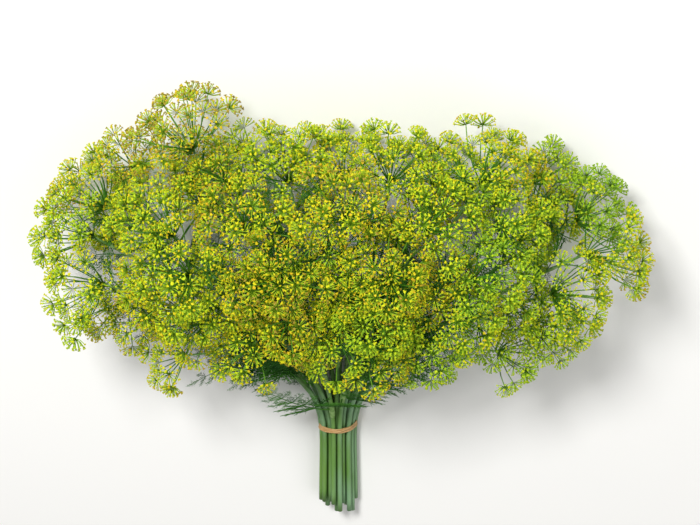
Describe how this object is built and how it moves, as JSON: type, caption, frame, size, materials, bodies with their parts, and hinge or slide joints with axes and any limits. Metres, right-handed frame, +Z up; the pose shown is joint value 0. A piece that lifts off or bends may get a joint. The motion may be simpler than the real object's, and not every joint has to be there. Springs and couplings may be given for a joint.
{
  "type": "dill bunch",
  "caption": "Tied bunch of flowering dill lying on its side: long green stems with feathery fronds, spreading to wide yellow-green compound umbels.",
  "frame": {"origin": "on the surface that the bunch lies on, under the middle of its bounding box", "axes": "+Y along the stems from the cut ends to the heads, +Z up from the surface, +X across the heads"},
  "size_m": [0.7328, 0.631, 0.2737],
  "materials": {
    "stem_green": "satin",
    "umbel_yellow": "matt",
    "tie_rubber": "satin"
  },
  "bodies": {
    "root": {"stem_01": "stem_green", "stem_02": "stem_green", "stem_03": "stem_green", "stem_04": "stem_green", "stem_05": "stem_green", "stem_06": "stem_green", "stem_07": "stem_green", "stem_08": "stem_green", "stem_09": "stem_green", "stem_10": "stem_green", "stem_11": "stem_green", "stem_12": "stem_green", "stem_13": "stem_green", "stem_14": "stem_green", "stem_15": "stem_green", "stem_16": "stem_green", "stem_17": "stem_green", "stem_18": "stem_green", "stem_19": "stem_green", "stem_20": "stem_green", "stem_21": "stem_green", "stem_22": "stem_green", "stem_23": "stem_green", "stem_24": "stem_green", "umbel_01": "umbel_yellow", "umbel_02": "umbel_yellow", "umbel_03": "umbel_yellow", "umbel_04": "umbel_yellow", "umbel_05": "umbel_yellow", "umbel_06": "umbel_yellow", "umbel_07": "umbel_yellow", "umbel_08": "umbel_yellow", "umbel_09": "umbel_yellow", "umbel_10": "umbel_yellow", "umbel_11": "umbel_yellow", "umbel_12": "umbel_yellow", "umbel_13": "umbel_yellow", "umbel_14": "umbel_yellow", "umbel_15": "umbel_yellow", "umbel_16": "umbel_yellow", "umbel_17": "umbel_yellow", "umbel_18": "umbel_yellow", "umbel_19": "umbel_yellow", "umbel_20": "umbel_yellow", "umbel_21": "umbel_yellow", "umbel_22": "umbel_yellow", "umbel_23": "umbel_yellow", "umbel_24": "umbel_yellow", "umbel_25": "umbel_yellow", "umbel_26": "umbel_yellow", "umbel_27": "umbel_yellow", "umbel_28": "umbel_yellow", "umbel_29": "umbel_yellow", "umbel_30": "umbel_yellow", "umbel_31": "umbel_yellow", "umbel_32": "umbel_yellow", "umbel_33": "umbel_yellow", "umbel_34": "umbel_yellow", "umbel_35": "umbel_yellow", "tie_band": "tie_rubber"}
  },
  "joints": []
}
